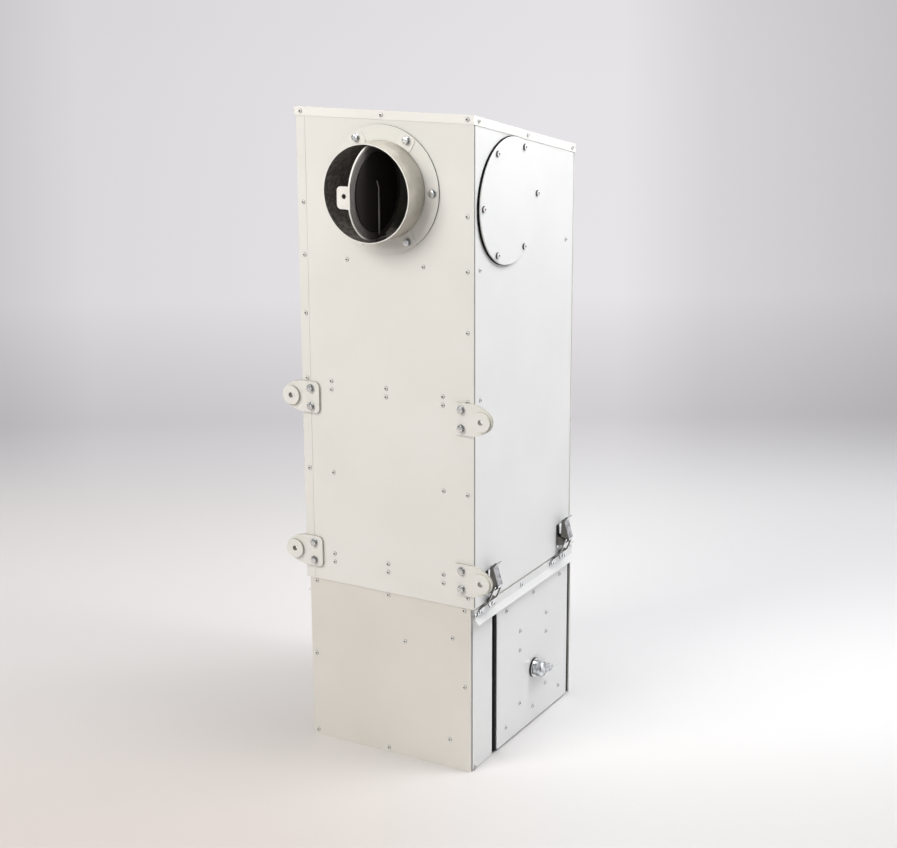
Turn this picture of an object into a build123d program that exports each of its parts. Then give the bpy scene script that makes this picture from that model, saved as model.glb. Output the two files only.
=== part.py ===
"""Upright sheet metal air handling unit: a tall housing with a duct spigot on a clamped lower box."""

from math import atan2, cos, hypot, radians, sin
import os

from build123d import *

os.makedirs("parts", exist_ok=True)

# Upper housing, in millimetres
housing_width = 297.0
housing_depth = 329.0
front_height = 1000.0
back_height = 922.0
seam_height = 269.0
sheet = 1.5
bend = 2.0
corner_bend = 4.0
flange_width = 16.0
panel_gap = 0.4
lap_width = 10.0

# Top cap
cap_gap = 0.1
cap_sheet = 0.8
cap_skirt = 13.0
roof_gap = 0.1

# Seam frame between the upper housing and the lower box
seam_rim_side = 26.0
seam_rim_end = 24.0

# Spigot on the front face
spigot_drop = 113.6
tube_radius = 71.6
tube_wall = 1.5
tube_reach = 45.9
tube_depth = 62.0
tube_root_step = 0.7
tube_root_length = 1.5
weld_gap = 0.1
ring_radius = 94.0
ring_thickness = 2.0
bolt_circle_radius = 84.5
bolt_count = 6
tab_width = 25.0
tab_thickness = 1.2
tab_edge = 8.0
tab_corner = 5.0

# Butterfly damper in the spigot, drawn open
spindle_reach = 24.5
blade_gap = 0.6
blade_thickness = 2.0
blade_flat = 67.5
ear_length = 20.0
ear_half_height = 16.0
ear_corner = 6.5
ear_hole_radius = 3.75
ear_hole_side = 8.5
ear_hole_rise = 2.0
stub_radius = 2.0
stub_gap = 0.08
stub_root = 1.0
stub_end_gap = 0.2
blade_seal_radius = 67.9
blade_seal_flat = 65.4
blade_seal_thickness = 2.5
clamp_radius = 57.3
clamp_thickness = 2.5
rod_radius = 2.0
rod_rise = 18.0
rod_drop = 63.0
rod_nose_length = 10.0
rod_nose_lean = 5.0
rod_foot = 16.0
rod_bend = 4.0

# Blanked port on the right face
port_setback = 103.5
port_drop = 134.2
port_radius = 75.0
gasket_radius = 93.6
gasket_thickness = 3.5
plate_radius = 92.8
plate_thickness = 2.0
plate_edge = 0.6

# Mounting lugs on the front face
lug_spread = 328.0
lower_lug_rise = 44.2
upper_lug_rise = 292.2
lug_thickness = 4.0
lug_half_height = 24.5
lug_inner_reach = 115.5
lug_straight_end = 143.0
lug_nose_radius = 17.0
lug_corner = 8.0
bush_radius = 14.8
bush_thickness = 4.5
lug_hole_radius = 4.25

# Lower box
base_depth = 345.0
lower_inset = 6.0
lower_setback = 2.0
lower_flange = 12.0
service_depth = 5.0
trim_start = 9.0
trim_end = 71.0
trim_clearance = 1.0
header_drop = 30.0
trim_back_gap = 3.0
floor_gap = 0.2
rail_start = 10.0

# Side rails
rail_thickness = 2.0
rail_drop = 8.0
rail_upright = 14.0
lip_reach = 9.0
lip_drop = 8.0
rail_bend = 2.5

# Service door and its seal
door_start = 86.0
door_end = 334.0
door_bottom = 3.0
door_corner = 2.0
seal_thickness = 4.0
seal_margin_side = 8.0
seal_margin_top = 4.0
header_gap = 2.0
opening_margin_side = 20.0
opening_margin_bottom = 29.0
opening_margin_top = 24.0
opening_corner = 8.0
seal_overlap = 6.0

# Turn handle on the door
handle_setback = 213.0
handle_height = 95.0
rose_radius = 16.0
rose_thickness = 4.0
rose_edge = 1.5
handle_lift = 0.3
hub_radius = 12.5
hub_length = 15.0
hub_edge = 3.0
grip_length = 42.0
grip_droop = 14.0
grip_tip_radius = 5.0
grip_thickness = 8.0
spindle_radius = 4.0
spindle_gap = 0.1
spindle_inside = 12.0
nut_radius = 8.0
nut_thickness = 5.0
nut_gap = 1.5

# Toggle latches: places along the depth and heights
latch_start = 46.5
latch_spread = 244.7
pivot_out = 10.0
pivot_rise = 20.3
link_out = 7.0
link_rise = 5.0
pin_radius = 1.5
pin_gap = 0.1
base_half_width = 13.0
base_rise = 9.0
base_height = 39.0
base_corner = 3.0
ear_inside = 8.0
ear_thickness = 1.5
ear_radius = 5.0
pin_head_radius = 3.5
pin_head = 1.4
lever_half_width = 7.3
lever_wall = 1.3
lever_eye_radius = 4.5
lever_lobe_radius = 3.8
lever_top_out = 9.5
lever_reach = 34.2
lever_top_radius = 2.6
finger_out = 6.5
finger_rise = 7.5
finger_thickness = 1.3
bail_half_width = 13.0
bail_corner = 3.5
bar_out = 7.0
bar_gap = 0.3
strike_half_foot = 28.0
strike_half_hook = 9.0
strike_foot_lift = 4.5
strike_foot_rise = 8.0
strike_out = 3.0
strike_shoulder_drop = 2.5
strike_rise = 4.5
strike_sheet = 1.5
hook_reach = 5.5
hook_drop = 2.0
foot_straight = 5.0
notch_half_foot = 13.0
notch_half_top = 3.0
notch_top_drop = 3.0

def middle(low, high):
    """The centre of a span."""
    return (low + high) / 2


# Derived places
half_width = housing_width / 2
face_reach = base_depth / 2 + lower_setback
front_y = -face_reach
back_y = front_y + housing_depth
lower_front_y = -base_depth / 2
lower_back_y = base_depth / 2
cap_out = cap_gap + cap_sheet
cap_front = front_y - cap_out
cap_back = back_y + cap_out
roof_fall = (front_height - back_height) / (cap_back - cap_front)
roof_angle = atan2(front_height - back_height, cap_back - cap_front)
roof_inside = front_height - cap_sheet / cos(roof_angle)
lower_top = seam_height - sheet
lower_half_width = half_width - lower_inset
service_wall = lower_half_width - service_depth
spigot_height = front_height - spigot_drop
root_radius = tube_radius - tube_root_step
tube_bore = tube_radius - tube_wall
ring_front = face_reach + ring_thickness
mouth = ring_front + tube_reach
spindle_y = front_y - spindle_reach
blade_radius = tube_bore - blade_gap
blade_side = blade_thickness / 2
seal_side = blade_side + blade_seal_thickness
clamp_side = seal_side + clamp_thickness
port_y = front_y + port_setback
port_height = front_height - port_drop
port_plane = Plane(origin=(half_width, port_y, port_height), z_dir=(1, 0, 0))
header_bottom = seam_height - header_drop
rail_top = seam_height - rail_drop
rail_bend_height = rail_top - rail_upright
door_inner_x = service_wall + seal_thickness
door_outer_x = door_inner_x + sheet
seal_top = header_bottom - header_gap
door_top = seal_top - seal_margin_top
handle_y = front_y + handle_setback
latch_front_y = front_y + latch_start
latch_rear_y = latch_front_y + latch_spread
pivot_height = seam_height + pivot_rise
link_x = pivot_out + link_out
link_height = pivot_height + link_rise
base_bottom = seam_height + base_rise
base_top = base_bottom + base_height
lever_top_height = pivot_height + lever_reach
strike_foot_bottom = rail_bend_height + strike_foot_lift
strike_shoulder = seam_height - strike_shoulder_drop
strike_top = seam_height + strike_rise


def roof_plane(drop):
    """The sloping plane under the roof sheet, a little lower by drop."""
    return Plane(
        origin=(0, cap_front, roof_inside - drop),
        x_dir=(1, 0, 0),
        z_dir=(0, sin(roof_angle), cos(roof_angle)),
    )


def save(piece, name):
    """Label a finished piece and write its file."""
    piece.part.label = name
    export_step(piece.part, f"parts/{name}.step")


def make_left_side_panel():
    """Left wall, a channel whose flanges lap over the front and back panels."""
    with BuildPart() as panel:
        with BuildSketch(Plane.XY.offset(seam_height)):
            with BuildLine():
                FilletPolyline(
                    (-half_width + flange_width, front_y),
                    (-half_width, front_y),
                    (-half_width, back_y),
                    (-half_width + flange_width, back_y),
                    radius=bend,
                )
                offset(amount=sheet, side=Side.RIGHT)
            make_face()
        extrude(amount=front_height - seam_height)
        split(bisect_by=roof_plane(roof_gap), keep=Keep.BOTTOM)
    save(panel, "left_side_panel")


def make_right_side_panel():
    """Right wall, a channel whose flanges stand behind the front and back panels."""
    with BuildPart() as panel:
        with BuildSketch(Plane.XY.offset(seam_height)):
            with BuildLine():
                FilletPolyline(
                    (half_width - flange_width, front_y + sheet),
                    (half_width, front_y + sheet),
                    (half_width, back_y - sheet),
                    (half_width - flange_width, back_y - sheet),
                    radius=corner_bend,
                )
                offset(amount=sheet, side=Side.LEFT)
            make_face()
        extrude(amount=front_height - seam_height)
        split(bisect_by=roof_plane(roof_gap), keep=Keep.BOTTOM)
        with BuildSketch(port_plane):
            Circle(port_radius)
        extrude(amount=-2 * sheet, mode=Mode.SUBTRACT)
    save(panel, "right_side_panel")


def end_panel_outline(face_y, inward):
    """Plan points of a front or back panel with its joggled edge on the left."""
    seam_x = -half_width + flange_width + panel_gap
    tongue_x = -half_width + 2 * bend + sheet
    lap_x = seam_x + lap_width
    return [
        (half_width, face_y),
        (seam_x, face_y),
        (seam_x, face_y + inward * sheet),
        (tongue_x, face_y + inward * sheet),
        (tongue_x, face_y + inward * 2 * sheet),
        (lap_x, face_y + inward * 2 * sheet),
        (lap_x, face_y + inward * sheet),
        (half_width, face_y + inward * sheet),
    ]


def make_front_panel():
    """Front wall with the round hole for the spigot tube."""
    with BuildPart() as panel:
        with BuildSketch(Plane.XY.offset(seam_height)):
            with BuildLine():
                Polyline(*end_panel_outline(front_y, 1), close=True)
            make_face()
        extrude(amount=front_height - seam_height)
        split(bisect_by=roof_plane(roof_gap), keep=Keep.BOTTOM)
        with BuildSketch(Plane.XZ.offset(face_reach)):
            with Locations((0, spigot_height)):
                Circle(root_radius + weld_gap)
        extrude(amount=-2 * sheet, mode=Mode.SUBTRACT)
    save(panel, "front_panel")


def make_back_panel():
    """Plain back wall."""
    with BuildPart() as panel:
        with BuildSketch(Plane.XY.offset(seam_height)):
            with BuildLine():
                Polyline(*end_panel_outline(back_y, -1), close=True)
            make_face()
        extrude(amount=front_height - seam_height)
        split(bisect_by=roof_plane(roof_gap), keep=Keep.BOTTOM)
    save(panel, "back_panel")


def make_top_cap():
    """Sloping roof sheet with a skirt on all four sides."""
    half_span = half_width + cap_out
    with BuildPart() as cap:
        with BuildSketch(Plane.YZ):
            with BuildLine():
                Polyline(
                    (cap_front, front_height),
                    (cap_back, back_height),
                    (cap_back, back_height - cap_skirt),
                    (cap_front, front_height - cap_skirt),
                    close=True,
                )
            make_face()
        extrude(amount=half_span, both=True)
        with BuildSketch(Plane.YZ):
            with BuildLine():
                Polyline(
                    (cap_front + cap_sheet, roof_inside - cap_sheet * roof_fall),
                    (cap_back - cap_sheet, roof_inside - (cap_back - cap_sheet - cap_front) * roof_fall),
                    (cap_back - cap_sheet, back_height - 2 * cap_skirt),
                    (cap_front + cap_sheet, front_height - 2 * cap_skirt),
                    close=True,
                )
            make_face()
        extrude(amount=half_span - cap_sheet, both=True, mode=Mode.SUBTRACT)
    save(cap, "top_cap")


def make_seam_frame():
    """Flat frame that closes the housing's bottom and caps the lower box behind it."""
    inner_near = front_y + seam_rim_end
    inner_far = back_y - seam_rim_end
    with BuildPart() as frame:
        with BuildSketch(Plane.XY.offset(lower_top)):
            with Locations((0, middle(front_y, lower_back_y))):
                Rectangle(housing_width, lower_back_y - front_y)
            with Locations((0, middle(inner_near, inner_far))):
                Rectangle(housing_width - 2 * seam_rim_side, inner_far - inner_near, mode=Mode.SUBTRACT)
        extrude(amount=sheet)
    save(frame, "seam_frame")


def make_spigot_flange():
    """Flat ring round the spigot on the front face."""
    with BuildPart() as ring:
        with BuildSketch(Plane.XZ.offset(face_reach)):
            with Locations((0, spigot_height)):
                Circle(ring_radius)
                Circle(root_radius + weld_gap, mode=Mode.SUBTRACT)
        extrude(amount=ring_thickness)
    save(ring, "spigot_flange")


def make_spigot_tube():
    """Duct spigot whose root tabs are bent out flat under the ring's bolts."""
    tab_inner = tube_radius - tube_wall / 2
    tab_outer = bolt_circle_radius + tab_edge
    with BuildPart() as tube:
        with BuildSketch(Plane.XZ.offset(mouth)):
            with Locations((0, spigot_height)):
                Circle(tube_radius)
        extrude(amount=-(tube_reach - tube_root_length))
        with BuildSketch(Plane.XZ.offset(ring_front + tube_root_length)):
            with Locations((0, spigot_height)):
                Circle(root_radius)
        extrude(amount=-(ring_thickness + tube_root_length + tube_depth))
        with BuildSketch(Plane.XZ.offset(ring_front)):
            with Locations((0, spigot_height)):
                with PolarLocations(middle(tab_inner, tab_outer), bolt_count):
                    RectangleRounded(tab_outer - tab_inner, tab_width, tab_corner)
        extrude(amount=tab_thickness)
        with BuildSketch(Plane.XZ.offset(mouth)):
            with Locations((0, spigot_height)):
                Circle(tube_bore)
        extrude(amount=-(mouth - face_reach + tube_depth), mode=Mode.SUBTRACT)
        with BuildSketch(Plane.XY.offset(spigot_height)):
            with Locations((0, spindle_y)):
                Circle(stub_radius + stub_gap)
        extrude(amount=2 * tube_radius, both=True, mode=Mode.SUBTRACT)
    save(tube, "spigot_tube")


def flat_disc(radius, flat):
    """Disc on the duct's axis, cut off straight at flat in front of the spindle."""
    span = flat + 2 * radius
    with Locations((spindle_y, spigot_height)):
        Circle(radius)
    with Locations((spindle_y - flat + span / 2, spigot_height)):
        Rectangle(span, 3 * radius, mode=Mode.INTERSECT)


def make_damper_blade():
    """Round blade with an ear bent off its front edge and a stub at top and bottom."""
    flat_reach = -spindle_y + blade_flat
    ear_span = ear_length + blade_side
    stub_start = blade_radius - stub_root
    stub_length = tube_radius - stub_end_gap - stub_start
    with BuildPart() as blade:
        with BuildSketch(Plane.YZ.offset(-blade_side)):
            flat_disc(blade_radius, blade_flat)
        extrude(amount=blade_thickness)
        with BuildSketch(Plane.XZ.offset(flat_reach)):
            with Locations((blade_side - ear_span / 2, spigot_height)):
                Rectangle(ear_span, 2 * ear_half_height)
            with Locations((-ear_hole_side, spigot_height + ear_hole_rise)):
                Circle(ear_hole_radius, mode=Mode.SUBTRACT)
        extrude(amount=-blade_thickness)
        fillet(blade.edges().filter_by(Axis.Y).group_by(Axis.X)[0], ear_corner)
        for start, length in (
            (spigot_height + stub_start, stub_length),
            (spigot_height - stub_start, -stub_length),
        ):
            with BuildSketch(Plane.XY.offset(start)):
                with Locations((0, spindle_y)):
                    Circle(stub_radius)
            extrude(amount=length)
    save(blade, "damper_blade")


def make_blade_seal():
    """Soft disc on the blade that closes the bore when the blade is turned."""
    with BuildPart() as seal:
        with BuildSketch(Plane.YZ.offset(blade_side)):
            flat_disc(blade_seal_radius, blade_seal_flat)
        extrude(amount=blade_seal_thickness)
    save(seal, "blade_seal")


def make_clamp_disc():
    """Smaller disc that holds the soft disc on the blade."""
    with BuildPart() as disc:
        with BuildSketch(Plane.YZ.offset(seal_side)):
            with Locations((spindle_y, spigot_height)):
                Circle(clamp_radius)
        extrude(amount=clamp_thickness)
    save(disc, "clamp_disc")


def make_damper_rod():
    """Wire rod along the spindle line, leaning forward at the top, with a foot at the back."""
    rod_x = clamp_side + rod_radius
    top = spigot_height + rod_rise
    foot = spigot_height - rod_drop
    with BuildLine() as path:
        FilletPolyline(
            (rod_x, spindle_y - rod_nose_lean, top),
            (rod_x, spindle_y, top - rod_nose_length),
            (rod_x, spindle_y, foot),
            (rod_x, spindle_y + rod_foot, foot),
            radius=rod_bend,
        )
    with BuildPart() as rod:
        with BuildSketch(Plane(origin=path.line @ 0, z_dir=path.line % 0)):
            Circle(rod_radius)
        sweep(path=path.line)
    save(rod, "damper_rod")


def make_blanking_gasket():
    """Rubber ring between the right wall and the blanking plate."""
    with BuildPart() as gasket:
        with BuildSketch(port_plane):
            Circle(gasket_radius)
            Circle(port_radius, mode=Mode.SUBTRACT)
        extrude(amount=gasket_thickness)
    save(gasket, "blanking_gasket")


def make_blanking_plate():
    """Round plate that closes the spare port."""
    with BuildPart() as plate:
        with BuildSketch(port_plane.offset(gasket_thickness)):
            Circle(plate_radius)
        extrude(amount=plate_thickness)
        chamfer(plate.faces().sort_by(Axis.X)[-1].edges(), plate_edge)
    save(plate, "blanking_plate")


def make_lug(side, height, name):
    """Mounting lug whose sides run in an arc to a round nose with a bush."""
    hole_x = lug_spread / 2
    run = hole_x - lug_straight_end
    arc_radius = (run**2 + lug_half_height**2 - lug_nose_radius**2) / (
        2 * (lug_half_height - lug_nose_radius)
    )
    centre_gap = hypot(run, arc_radius - lug_half_height)
    touch_x = hole_x + lug_nose_radius * run / centre_gap
    touch_z = lug_nose_radius * (arc_radius - lug_half_height) / centre_gap
    start_x = side * lug_straight_end
    top = height + lug_half_height
    bottom = height - lug_half_height
    with BuildPart() as lug:
        with BuildSketch(Plane.XZ.offset(face_reach)):
            with BuildLine():
                Polyline(
                    (start_x, top),
                    (side * lug_inner_reach, top),
                    (side * lug_inner_reach, bottom),
                    (start_x, bottom),
                )
                TangentArc((start_x, bottom), (side * touch_x, height - touch_z), tangent=(side, 0))
                ThreePointArc(
                    (side * touch_x, height - touch_z),
                    (side * (hole_x + lug_nose_radius), height),
                    (side * touch_x, height + touch_z),
                )
                TangentArc((start_x, top), (side * touch_x, height + touch_z), tangent=(side, 0))
            make_face()
        extrude(amount=lug_thickness)
        inner_edges = lug.edges().filter_by(Axis.Y).sort_by(Axis.X)
        fillet(inner_edges[:2] if side > 0 else inner_edges[-2:], lug_corner)
        with BuildSketch(Plane.XZ.offset(face_reach + lug_thickness)):
            with Locations((side * hole_x, height)):
                Circle(bush_radius)
        extrude(amount=bush_thickness)
        with BuildSketch(Plane.XZ.offset(face_reach + lug_thickness + bush_thickness)):
            with Locations((side * hole_x, height)):
                Circle(lug_hole_radius)
        extrude(amount=-(lug_thickness + bush_thickness), mode=Mode.SUBTRACT)
    save(lug, name)


def make_lower_front():
    """Front sheet of the lower box."""
    with BuildPart() as wall:
        with BuildSketch():
            with Locations((0, lower_front_y + sheet / 2)):
                Rectangle(2 * lower_half_width, sheet)
        extrude(amount=lower_top)
    save(wall, "lower_front")


def make_lower_back():
    """Back sheet of the lower box."""
    with BuildPart() as wall:
        with BuildSketch():
            with Locations((0, lower_back_y - sheet / 2)):
                Rectangle(2 * lower_half_width, sheet)
        extrude(amount=lower_top)
    save(wall, "lower_back")


def make_lower_left_side():
    """Left wall of the lower box, a channel between its front and back sheets."""
    near = lower_front_y + sheet
    far = lower_back_y - sheet
    with BuildPart() as wall:
        with BuildSketch():
            with BuildLine():
                FilletPolyline(
                    (-lower_half_width + lower_flange, near),
                    (-lower_half_width, near),
                    (-lower_half_width, far),
                    (-lower_half_width + lower_flange, far),
                    radius=bend,
                )
                offset(amount=sheet, side=Side.RIGHT)
            make_face()
        extrude(amount=lower_top)
    save(wall, "lower_left_side")


def make_service_wall():
    """Set back right wall of the lower box, with the service opening."""
    near = lower_front_y + sheet
    far = lower_back_y - sheet
    opening_start = front_y + door_start + opening_margin_side
    opening_end = front_y + door_end - opening_margin_side
    opening_low = door_bottom + opening_margin_bottom
    opening_high = door_top - opening_margin_top
    with BuildPart() as wall:
        with BuildSketch():
            with BuildLine():
                FilletPolyline(
                    (service_wall - lower_flange, near),
                    (service_wall, near),
                    (service_wall, far),
                    (service_wall - lower_flange, far),
                    radius=bend,
                )
                offset(amount=sheet, side=Side.LEFT)
            make_face()
        extrude(amount=lower_top)
        with BuildSketch(Plane.YZ.offset(service_wall)):
            with Locations((middle(opening_start, opening_end), middle(opening_low, opening_high))):
                RectangleRounded(opening_end - opening_start, opening_high - opening_low, opening_corner)
        extrude(amount=-2 * sheet, mode=Mode.SUBTRACT)
    save(wall, "service_wall")


def trim_outline(shrink):
    """Corner strip and header over the door, drawn in by shrink on every side."""
    near = front_y + trim_start + shrink
    step = front_y + trim_end - shrink
    far = lower_back_y - sheet - trim_back_gap - shrink
    low = trim_clearance + shrink
    shelf = header_bottom + shrink
    high = lower_top - shrink
    return [(near, low), (step, low), (step, shelf), (far, shelf), (far, high), (near, high)]


def make_service_trim():
    """Folded pan that brings the corner and the header out level with the door."""
    with BuildPart() as trim:
        with BuildSketch(Plane.YZ.offset(service_wall)):
            with BuildLine():
                Polyline(*trim_outline(0), close=True)
            make_face()
        extrude(amount=service_depth)
        with BuildSketch(Plane.YZ.offset(service_wall)):
            with BuildLine():
                Polyline(*trim_outline(sheet), close=True)
            make_face()
        extrude(amount=service_depth - sheet, mode=Mode.SUBTRACT)
        upright = trim.edges().filter_by(Axis.Z).group_by(Axis.X)[-1]
        fillet(upright, sheet / 2)
    save(trim, "service_trim")


def make_lower_floor():
    """Floor sheet of the lower box."""
    left = -lower_half_width + sheet + floor_gap
    right = service_wall - sheet - floor_gap
    near = lower_front_y + 2 * sheet + floor_gap
    far = lower_back_y - 2 * sheet - floor_gap
    with BuildPart() as floor:
        with BuildSketch():
            with Locations((middle(left, right), middle(near, far))):
                Rectangle(right - left, far - near)
        extrude(amount=sheet)
    save(floor, "lower_floor")


def make_rail(side, name):
    """Strip along the side of the lower box with a lip turned out and down."""
    face = lower_half_width
    lip_x = face + lip_reach
    with BuildPart() as rail:
        with BuildSketch(Plane.XZ.offset(-lower_back_y)):
            with BuildLine():
                FilletPolyline(
                    (side * face, rail_top),
                    (side * face, rail_bend_height),
                    (side * lip_x, rail_bend_height - lip_drop),
                    radius=rail_bend,
                )
                offset(amount=rail_thickness, side=Side.LEFT if side > 0 else Side.RIGHT)
            make_face()
        extrude(amount=lower_back_y - front_y - rail_start)
    save(rail, name)


def make_door_seal():
    """Black rubber frame that the service door closes on."""
    near = front_y + door_start - seal_margin_side
    far = front_y + door_end + seal_margin_side
    inner_near = front_y + door_start + opening_margin_side - seal_overlap
    inner_far = front_y + door_end - opening_margin_side + seal_overlap
    inner_low = door_bottom + opening_margin_bottom - seal_overlap
    inner_high = door_top - opening_margin_top + seal_overlap
    with BuildPart() as seal:
        with BuildSketch(Plane.YZ.offset(service_wall)):
            with Locations((middle(near, far), middle(door_bottom, seal_top))):
                Rectangle(far - near, seal_top - door_bottom)
            with Locations((middle(inner_near, inner_far), middle(inner_low, inner_high))):
                RectangleRounded(
                    inner_far - inner_near, inner_high - inner_low, opening_corner, mode=Mode.SUBTRACT
                )
        extrude(amount=seal_thickness)
    save(seal, "door_seal")


def make_access_door():
    """Flat service door with the hole for the handle spindle."""
    near = front_y + door_start
    far = front_y + door_end
    with BuildPart() as door:
        with BuildSketch(Plane.YZ.offset(door_inner_x)):
            with Locations((middle(near, far), middle(door_bottom, door_top))):
                RectangleRounded(far - near, door_top - door_bottom, door_corner)
            with Locations((handle_y, handle_height)):
                Circle(spindle_radius + spindle_gap, mode=Mode.SUBTRACT)
        extrude(amount=sheet)
    save(door, "access_door")


def make_handle_rose():
    """Round rose under the turn handle."""
    with BuildPart() as rose:
        with BuildSketch(Plane.YZ.offset(door_outer_x)):
            with Locations((handle_y, handle_height)):
                Circle(rose_radius)
        extrude(amount=rose_thickness)
        fillet(rose.faces().sort_by(Axis.X)[-1].edges(), rose_edge)
        with BuildSketch(Plane.YZ.offset(door_outer_x)):
            with Locations((handle_y, handle_height)):
                Circle(spindle_radius + spindle_gap)
        extrude(amount=rose_thickness, mode=Mode.SUBTRACT)
    save(rose, "handle_rose")


def make_turn_handle():
    """Turn handle: round hub, flat tapered grip, and a spindle with a nut inside the door."""
    hub_x = door_outer_x + rose_thickness + handle_lift
    nut_outer = door_inner_x - nut_gap
    inner_x = door_inner_x - spindle_inside
    grip_reach = grip_length - grip_tip_radius
    tip_y = handle_y + grip_reach * cos(radians(grip_droop))
    tip_z = handle_height - grip_reach * sin(radians(grip_droop))
    with BuildPart() as handle:
        with BuildSketch(Plane.YZ.offset(hub_x)):
            with Locations((handle_y, handle_height)):
                Circle(hub_radius)
        extrude(amount=hub_length)
        fillet(handle.faces().sort_by(Axis.X)[-1].edges(), hub_edge)
        with BuildSketch(Plane.YZ.offset(hub_x + hub_length - hub_edge - grip_thickness)):
            with Locations((handle_y, handle_height)):
                Circle(hub_radius - hub_edge)
            with Locations((tip_y, tip_z)):
                Circle(grip_tip_radius)
            make_hull()
        extrude(amount=grip_thickness)
        with BuildSketch(Plane.YZ.offset(inner_x)):
            with Locations((handle_y, handle_height)):
                Circle(spindle_radius)
        extrude(amount=hub_x - inner_x)
        with BuildSketch(Plane.YZ.offset(nut_outer)):
            with Locations((handle_y, handle_height)):
                RegularPolygon(nut_radius, 6)
        extrude(amount=-nut_thickness)
    save(handle, "turn_handle")


def make_latch_base(side, latch_y, name):
    """Base plate with two ears and the lever's pin."""
    face = side * half_width
    pin_x = side * (half_width + pivot_out)
    with BuildPart() as base:
        with BuildSketch(Plane.YZ.offset(face)):
            with Locations((latch_y, middle(base_bottom, base_top))):
                RectangleRounded(2 * base_half_width, base_top - base_bottom, base_corner)
        extrude(amount=side * sheet)
        for ear_y in (latch_y - ear_inside, latch_y + ear_inside + ear_thickness):
            with BuildSketch(Plane.XZ.offset(-ear_y)):
                with Locations((pin_x, pivot_height)):
                    Circle(ear_radius)
                with Locations((side * (half_width + sheet), pivot_height)):
                    Rectangle(sheet, 3 * ear_radius)
                make_hull()
            extrude(amount=ear_thickness)
        half_pin = ear_inside + ear_thickness
        with BuildSketch(Plane.XZ.offset(-latch_y - half_pin)):
            with Locations((pin_x, pivot_height)):
                Circle(pin_radius)
        extrude(amount=2 * half_pin)
        with BuildSketch(Plane.XZ.offset(-latch_y + half_pin)):
            with Locations((pin_x, pivot_height)):
                Circle(pin_head_radius)
        extrude(amount=pin_head)
    save(base, name)


def make_latch_lever(side, latch_y, name):
    """Channel shaped lever with an eye on the base pin and lobes for the bail."""
    pin_x = side * (half_width + pivot_out)
    bail_x = side * (half_width + link_x)
    top_x = side * (half_width + lever_top_out)
    places = [(pin_x, pivot_height), (bail_x, link_height), (top_x, lever_top_height)]
    radii = [lever_eye_radius, lever_lobe_radius, lever_top_radius]
    with BuildPart() as lever:
        with BuildSketch(Plane.XZ.offset(-latch_y - lever_half_width)):
            for place, radius in zip(places, radii):
                with Locations(place):
                    Circle(radius)
            make_hull()
        extrude(amount=2 * lever_half_width)
        inner = lever_half_width - lever_wall
        with BuildSketch(Plane.XZ.offset(-latch_y - inner)):
            for place, radius in zip(places, radii):
                with Locations((place[0] - side * lever_wall, place[1])):
                    Circle(radius)
            with Locations((pin_x, pivot_height - lever_eye_radius)):
                Circle(lever_eye_radius)
            make_hull()
        extrude(amount=2 * inner, mode=Mode.SUBTRACT)
        with BuildSketch(Plane.XZ.offset(-latch_y - lever_half_width)):
            for place in places[:2]:
                with Locations(place):
                    Circle(pin_radius + pin_gap)
        extrude(amount=2 * lever_half_width, mode=Mode.SUBTRACT)
        tip_x = top_x + side * lever_top_radius
        with BuildSketch(Plane.XZ.offset(-latch_y - lever_half_width)):
            with BuildLine():
                Polyline(
                    (tip_x - side * finger_thickness, lever_top_height),
                    (tip_x, lever_top_height - finger_thickness),
                    (tip_x + side * finger_out, lever_top_height + finger_rise),
                    (tip_x + side * (finger_out - finger_thickness), lever_top_height + finger_rise),
                    close=True,
                )
            make_face()
        extrude(amount=2 * lever_half_width)
    save(lever, name)


def bar_place():
    """Distance out and height of the bail's bar under the strike's hook."""
    lip_angle = atan2(hook_drop, hook_reach)
    inner_out = strike_out + strike_sheet
    under = strike_top - strike_sheet / cos(lip_angle)
    fall = (bar_out - inner_out) * hook_drop / hook_reach
    return bar_out, under - fall - (pin_radius + bar_gap) / cos(lip_angle)


def make_latch_bail(side, latch_y, name):
    """Closed wire loop from the lever's lobes down to the bar under the hook."""
    reach_out, reach_height = bar_place()
    link_drop = link_height - reach_height
    link_lean = link_x - reach_out
    length = hypot(link_drop, link_lean)
    loop_plane = Plane(
        origin=(side * (half_width + link_x), latch_y, link_height),
        x_dir=(0, 1, 0),
        z_dir=(-link_drop, 0, side * link_lean),
    )
    with BuildSketch(loop_plane) as loop:
        with Locations((0, length / 2)):
            RectangleRounded(2 * bail_half_width, length, bail_corner)
    path = loop.sketch.wire()
    with BuildPart() as bail:
        with BuildSketch(Plane(origin=path @ 0, z_dir=path % 0)):
            Circle(pin_radius)
        sweep(path=path)
    save(bail, name)


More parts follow.
